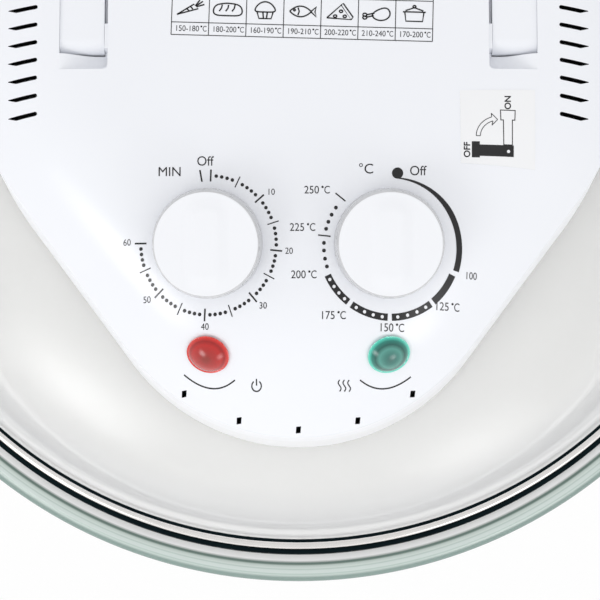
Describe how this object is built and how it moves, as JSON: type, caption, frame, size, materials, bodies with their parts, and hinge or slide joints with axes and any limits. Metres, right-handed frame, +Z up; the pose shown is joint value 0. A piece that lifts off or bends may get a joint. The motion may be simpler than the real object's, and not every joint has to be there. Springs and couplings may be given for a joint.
{
  "type": "halogen oven",
  "caption": "Countertop halogen oven: glass bowl on a round stand, domed glass lid hinged at the back, white control head with two dials, two lights and a fold-down safety handle.",
  "frame": {"origin": "on the table, under the middle of the box round the whole oven; the bowl's own axis is 15.5 mm in front of it", "axes": "+Z up, +Y towards the hinge at the back, so the controls face -Y; +X to the right of someone facing the controls"},
  "size_m": [0.3408, 0.367, 0.3212],
  "materials": {
    "white_plastic": "moulded white ABS, polished",
    "foot_rubber": "matt moulded rubber",
    "screw_steel": "bright zinc plate",
    "clear_glass": "clear tempered glass, greenish at its edge",
    "steel": "satin stainless sheet",
    "black_silicone": "smooth black silicone",
    "black_plastic": "matt moulded plastic",
    "red_plastic": "moulded plastic",
    "ceramic_pad": "pressed ceramic fibre",
    "quartz": "drawn quartz tube",
    "ceramic": "unglazed steatite",
    "wire_chrome": "chromed wire",
    "copper": "drawn copper",
    "motor_iron": "varnished laminations",
    "aluminium": "plain sheet and die casting",
    "control_plastic": "moulded nylon",
    "brass": "turned brass",
    "phenolic": "moulded phenolic",
    "red_lens": "clear red faceted lens",
    "green_lens": "clear blue-green faceted lens"
  },
  "bodies": {
    "base": {"base_stand": "white_plastic", "stand_deck": "white_plastic", "stand_posts": "white_plastic", "stand_tail": "white_plastic", "tail_screws": "screw_steel", "side_grips": "white_plastic", "base_feet": "foot_rubber", "hinge_tower": "white_plastic", "tower_screws": "screw_steel", "hinge_pin": "screw_steel", "glass_bowl": "clear_glass"},
    "lid": {"lid_glass": "clear_glass", "lid_band": "steel", "lid_seal": "black_silicone", "lid_hinge_arm": "white_plastic", "arm_screws": "screw_steel", "glass_gasket": "black_silicone", "head_base": "white_plastic", "head_cover": "white_plastic", "cover_screws": "screw_steel", "handle_pins": "screw_steel", "safety_switch": "black_plastic", "reflector_pan": "steel", "heat_shield": "ceramic_pad", "halogen_ring": "quartz", "lamp_caps": "ceramic", "lamp_clips": "steel", "lamp_guard": "wire_chrome", "sensor_bulb": "copper", "motor_stator": "motor_iron", "motor_coil": "copper", "motor_brackets": "aluminium", "timer_body": "control_plastic", "thermostat_body": "phenolic", "lens_power": "red_lens", "lens_heat": "green_lens", "neon_lamps": "quartz", "terminal_block": "control_plastic", "thermal_fuse": "steel", "cord_gland": "white_plastic"},
    "handle": {"handle": "white_plastic"},
    "plunger": {"switch_plunger": "red_plastic"},
    "time_dial": {"knob_time": "white_plastic", "timer_shaft": "brass"},
    "temp_dial": {"knob_temp": "white_plastic", "thermostat_shaft": "brass"},
    "rotor": {"motor_rotor": "motor_iron", "rotor_shaft": "screw_steel", "cooling_fan": "black_plastic", "convection_fan": "aluminium"}
  },
  "joints": [
    {"name": "lid_hinge", "type": "hinge", "parent": "base", "child": "lid", "pos_m": [0, 0.1723, 0.216], "axis": [-1, 0, 0], "range_deg": [0, 85]},
    {"name": "handle_fold", "type": "hinge", "parent": "lid", "child": "handle", "pos_m": [0, -0.0155, 0.30199], "axis": [1, 0, 0], "range_deg": [0, 90]},
    {"name": "timer_turn", "type": "hinge", "parent": "lid", "child": "time_dial", "pos_m": [-0.0282, -0.0852, 0.30564], "axis": [0.018, 0.201, -0.9794], "range_deg": [0, 270]},
    {"name": "thermostat_turn", "type": "hinge", "parent": "lid", "child": "temp_dial", "pos_m": [0.0282, -0.0852, 0.30564], "axis": [-0.018, 0.201, -0.9794], "range_deg": [0, 312]},
    {"name": "fan_spin", "type": "hinge", "parent": "lid", "child": "rotor", "pos_m": [0, -0.0155, 0.26], "axis": [0, 0, 1], "continuous": true},
    {"name": "switch_travel", "type": "slide", "parent": "lid", "child": "plunger", "axis": [0, 0, 1], "range_m": [0, 0.0025]}
  ],
  "couplings": [
    {"joint": "switch_travel", "follows": "handle_fold", "m_per_rad": 0.0015914}
  ]
}
